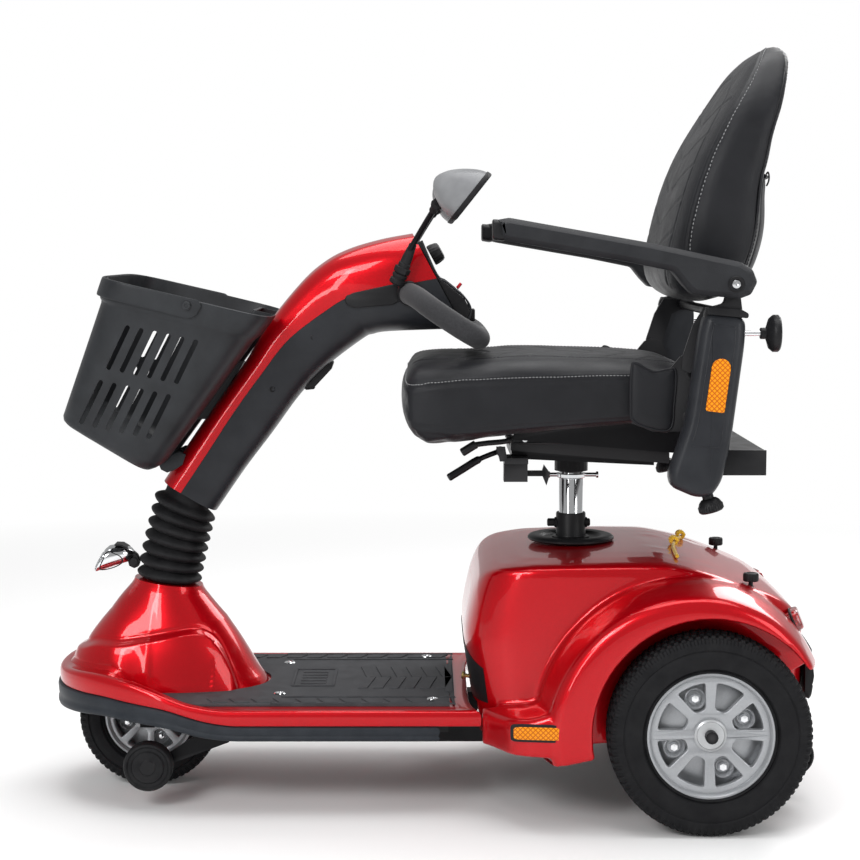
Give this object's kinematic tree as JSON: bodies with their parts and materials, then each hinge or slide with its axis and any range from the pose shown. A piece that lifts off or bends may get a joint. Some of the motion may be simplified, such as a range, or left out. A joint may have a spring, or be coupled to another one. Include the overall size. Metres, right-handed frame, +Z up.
{
  "type": "mobility scooter",
  "caption": "Three-wheeled mobility scooter with a folding tiller, front basket, swivel seat with flip-up armrests and a shrouded rear drive.",
  "frame": {"origin": "on the floor under the centre of the bounding box, midway between the rear wheels", "axes": "+Z up, -X is forward (towards the front wheel and basket), +X is rearward, +Y is the rider's right"},
  "size_m": [1.2126, 0.632, 1.185],
  "materials": {
    "red_paint": "candy red metallic clear coat",
    "grey_shell": "dark grey moulded plastic, fine grain",
    "black_plastic": "black moulded plastic",
    "rubber": "matte black rubber",
    "tyre": "black tread rubber",
    "steel_black": "black powder coat",
    "chrome": "bright chrome plate",
    "alloy": "silver painted cast wheel",
    "vinyl": "charcoal upholstery vinyl with fine grain",
    "foam": "dark grey foam grip",
    "lens_red": "clear red lens",
    "key_red": "red moulded plastic",
    "cord_yellow": "braided yellow cord"
  },
  "bodies": {
    "chassis": {"frame": "steel_black", "deck_pan": "red_paint", "bumper_strip": "rubber", "floor_mat": "rubber", "front_shroud": "red_paint", "rear_shroud": "red_paint", "rear_bumper": "black_plastic", "tail_light_left": "lens_red", "tail_light_right": "lens_red", "post_socket": "black_plastic", "drive_unit": "steel_black", "battery_pack": "black_plastic", "pull_cord": "cord_yellow"},
    "steering": {"front_fork": "steel_black", "boot": "rubber"},
    "front_wheel": {"front_tyre": "tyre", "front_rim": "alloy"},
    "tiller": {"tiller_mast": "steel_black", "tiller_front_cover": "red_paint", "tiller_rear_cover": "grey_shell", "basket_bracket": "steel_black", "basket": "grey_shell", "console": "black_plastic", "handlebar": "foam", "charger_socket": "black_plastic"},
    "basket_handle": {"basket_handle": "grey_shell"},
    "throttle": {"throttle_lever": "black_plastic"},
    "speed_knob": {"speed_knob": "black_plastic"},
    "power_key": {"power_key": "key_red"},
    "mirror_stem_left": {"mirror_stem_left": "black_plastic"},
    "mirror_stem_right": {"mirror_stem_right": "black_plastic"},
    "mirror_head_left": {"mirror_head_left": "grey_shell"},
    "mirror_head_right": {"mirror_head_right": "grey_shell"},
    "headlight": {"headlight": "chrome"},
    "rear_wheel_left": {"rear_tyre_left": "tyre", "rear_rim_left": "alloy"},
    "rear_wheel_right": {"rear_tyre_right": "tyre", "rear_rim_right": "alloy"},
    "antitip_front_left": {"antitip_wheel_front_left": "rubber"},
    "antitip_front_right": {"antitip_wheel_front_right": "rubber"},
    "antitip_rear_left": {"antitip_wheel_rear_left": "rubber"},
    "antitip_rear_right": {"antitip_wheel_rear_right": "rubber"},
    "shroud_knob_left": {"shroud_knob_left": "black_plastic"},
    "shroud_knob_right": {"shroud_knob_right": "black_plastic"},
    "seat_post": {"seat_post": "chrome"},
    "swivel": {"swivel_base": "steel_black"},
    "swivel_lever": {"swivel_lever": "steel_black"},
    "seat": {"seat_frame": "steel_black", "seat_cushion": "vinyl", "armrest_panel_left": "grey_shell", "armrest_panel_right": "grey_shell"},
    "slide_lever": {"slide_lever": "black_plastic"},
    "backrest": {"backrest_frame": "steel_black", "backrest_cushion": "vinyl"},
    "armrest_left": {"armrest_pad_left": "grey_shell"},
    "armrest_right": {"armrest_pad_right": "grey_shell"},
    "armrest_knob_left": {"armrest_knob_left": "black_plastic"},
    "armrest_knob_right": {"armrest_knob_right": "black_plastic"},
    "width_knob_left": {"width_knob_left": "black_plastic"},
    "width_knob_right": {"width_knob_right": "black_plastic"}
  },
  "joints": [
    {"name": "steering_turn", "type": "hinge", "parent": "chassis", "child": "steering", "pos_m": [-0.459, 0, 0.115], "axis": [0.1383, 0, 0.9904], "range_deg": [-36, 36]},
    {"name": "tiller_tilt", "type": "hinge", "parent": "steering", "child": "tiller", "pos_m": [-0.419, 0, 0.4], "axis": [0, 1, 0], "range_deg": [-40, 0], "deforming": ["boot"]},
    {"name": "front_wheel_spin", "type": "hinge", "parent": "steering", "child": "front_wheel", "pos_m": [-0.459, 0, 0.115], "axis": [0, 1, 0], "continuous": true},
    {"name": "rear_wheel_spin_left", "type": "hinge", "parent": "chassis", "child": "rear_wheel_left", "pos_m": [0.414, -0.278, 0.153], "axis": [0, 1, 0], "continuous": true},
    {"name": "antitip_front_spin_left", "type": "hinge", "parent": "chassis", "child": "antitip_front_left", "pos_m": [-0.441, -0.166, 0.07], "axis": [0, 1, 0], "continuous": true},
    {"name": "antitip_rear_spin_left", "type": "hinge", "parent": "chassis", "child": "antitip_rear_left", "pos_m": [0.575, -0.111, 0.072], "axis": [0, 1, 0], "continuous": true},
    {"name": "shroud_knob_turn_left", "type": "hinge", "parent": "chassis", "child": "shroud_knob_left", "pos_m": [0.491, -0.178, 0.37], "axis": [0, 0, 1], "continuous": true},
    {"name": "mirror_stem_turn_left", "type": "hinge", "parent": "tiller", "child": "mirror_stem_left", "pos_m": [-0.046, -0.106, 0.838], "axis": [0.3906, -0.13, 0.9113], "range_deg": [-25, 25]},
    {"name": "mirror_head_turn_left", "type": "hinge", "parent": "mirror_stem_left", "child": "mirror_head_left", "pos_m": [0.008, -0.19, 0.937], "axis": [0, 0, 1], "range_deg": [-20, 20]},
    {"name": "armrest_lift_left", "type": "hinge", "parent": "seat", "child": "armrest_left", "pos_m": [0.441, -0.272, 0.821], "axis": [0, 1, 0], "range_deg": [0, 105]},
    {"name": "armrest_knob_turn_left", "type": "hinge", "parent": "seat", "child": "armrest_knob_left", "pos_m": [0.486, -0.262, 0.7474], "axis": [1, 0, 0], "continuous": true},
    {"name": "width_knob_turn_left", "type": "hinge", "parent": "seat", "child": "width_knob_left", "pos_m": [0.415, -0.262, 0.49], "axis": [0.2874, 0, -0.9578], "continuous": true},
    {"name": "rear_wheel_spin_right", "type": "hinge", "parent": "chassis", "child": "rear_wheel_right", "pos_m": [0.414, 0.278, 0.153], "axis": [0, 1, 0], "continuous": true},
    {"name": "antitip_front_spin_right", "type": "hinge", "parent": "chassis", "child": "antitip_front_right", "pos_m": [-0.441, 0.166, 0.07], "axis": [0, 1, 0], "continuous": true},
    {"name": "antitip_rear_spin_right", "type": "hinge", "parent": "chassis", "child": "antitip_rear_right", "pos_m": [0.575, 0.111, 0.072], "axis": [0, 1, 0], "continuous": true},
    {"name": "shroud_knob_turn_right", "type": "hinge", "parent": "chassis", "child": "shroud_knob_right", "pos_m": [0.491, 0.178, 0.37], "axis": [0, 0, 1], "continuous": true},
    {"name": "mirror_stem_turn_right", "type": "hinge", "parent": "tiller", "child": "mirror_stem_right", "pos_m": [-0.046, 0.106, 0.838], "axis": [0.3906, 0.13, 0.9113], "range_deg": [-25, 25]},
    {"name": "mirror_head_turn_right", "type": "hinge", "parent": "mirror_stem_right", "child": "mirror_head_right", "pos_m": [0.008, 0.19, 0.937], "axis": [0, 0, 1], "range_deg": [-20, 20]},
    {"name": "armrest_lift_right", "type": "hinge", "parent": "seat", "child": "armrest_right", "pos_m": [0.441, 0.272, 0.821], "axis": [0, 1, 0], "range_deg": [0, 105]},
    {"name": "armrest_knob_turn_right", "type": "hinge", "parent": "seat", "child": "armrest_knob_right", "pos_m": [0.486, 0.262, 0.7474], "axis": [1, 0, 0], "continuous": true},
    {"name": "width_knob_turn_right", "type": "hinge", "parent": "seat", "child": "width_knob_right", "pos_m": [0.415, 0.262, 0.49], "axis": [0.2874, 0, -0.9578], "continuous": true},
    {"name": "basket_handle_lift", "type": "hinge", "parent": "tiller", "child": "basket_handle", "pos_m": [-0.372, 0, 0.786], "axis": [0, 1, 0], "range_deg": [0, 95]},
    {"name": "throttle_turn", "type": "hinge", "parent": "tiller", "child": "throttle", "pos_m": [-0.004, 0.1, 0.776], "axis": [0, 0, 1], "range_deg": [-15, 15], "stiffness_Nm_per_rad": 0.5},
    {"name": "speed_knob_turn", "type": "hinge", "parent": "tiller", "child": "speed_knob", "pos_m": [-0.005, 0.03, 0.858], "axis": [0.8794, 0, 0.4762], "range_deg": [-135, 135]},
    {"name": "power_key_turn", "type": "hinge", "parent": "tiller", "child": "power_key", "pos_m": [0.038, -0.02, 0.8055], "axis": [0.634, 0, 0.7733], "range_deg": [0, 90]},
    {"name": "headlight_tilt", "type": "hinge", "parent": "steering", "child": "headlight", "pos_m": [-0.484, 0, 0.364], "axis": [0, 1, 0], "range_deg": [-12, 12]},
    {"name": "seat_height", "type": "slide", "parent": "chassis", "child": "seat_post", "axis": [0, 0, 1], "range_m": [-0.05, 0]},
    {"name": "seat_swivel", "type": "hinge", "parent": "seat_post", "child": "swivel", "pos_m": [0.227, 0, 0.53], "axis": [0, 0, 1], "range_deg": [-15, 15]},
    {"name": "seat_slide", "type": "slide", "parent": "swivel", "child": "seat", "axis": [0.9966, 0, -0.0823], "range_m": [-0.03, 0.09]},
    {"name": "swivel_lever_lift", "type": "hinge", "parent": "swivel", "child": "swivel_lever", "pos_m": [0.107, -0.124, 0.559], "axis": [0, 1, 0], "range_deg": [0, 15], "stiffness_Nm_per_rad": 0.8, "springref_deg": -17.19},
    {"name": "slide_lever_lift", "type": "hinge", "parent": "seat", "child": "slide_lever", "pos_m": [0.12, -0.15, 0.58], "axis": [0, 1, 0], "range_deg": [0, 10], "stiffness_Nm_per_rad": 0.8, "springref_deg": -17.19},
    {"name": "backrest_fold", "type": "hinge", "parent": "seat", "child": "backrest", "pos_m": [0.384, 0, 0.702], "axis": [0, 1, 0], "range_deg": [-50, 0]}
  ]
}
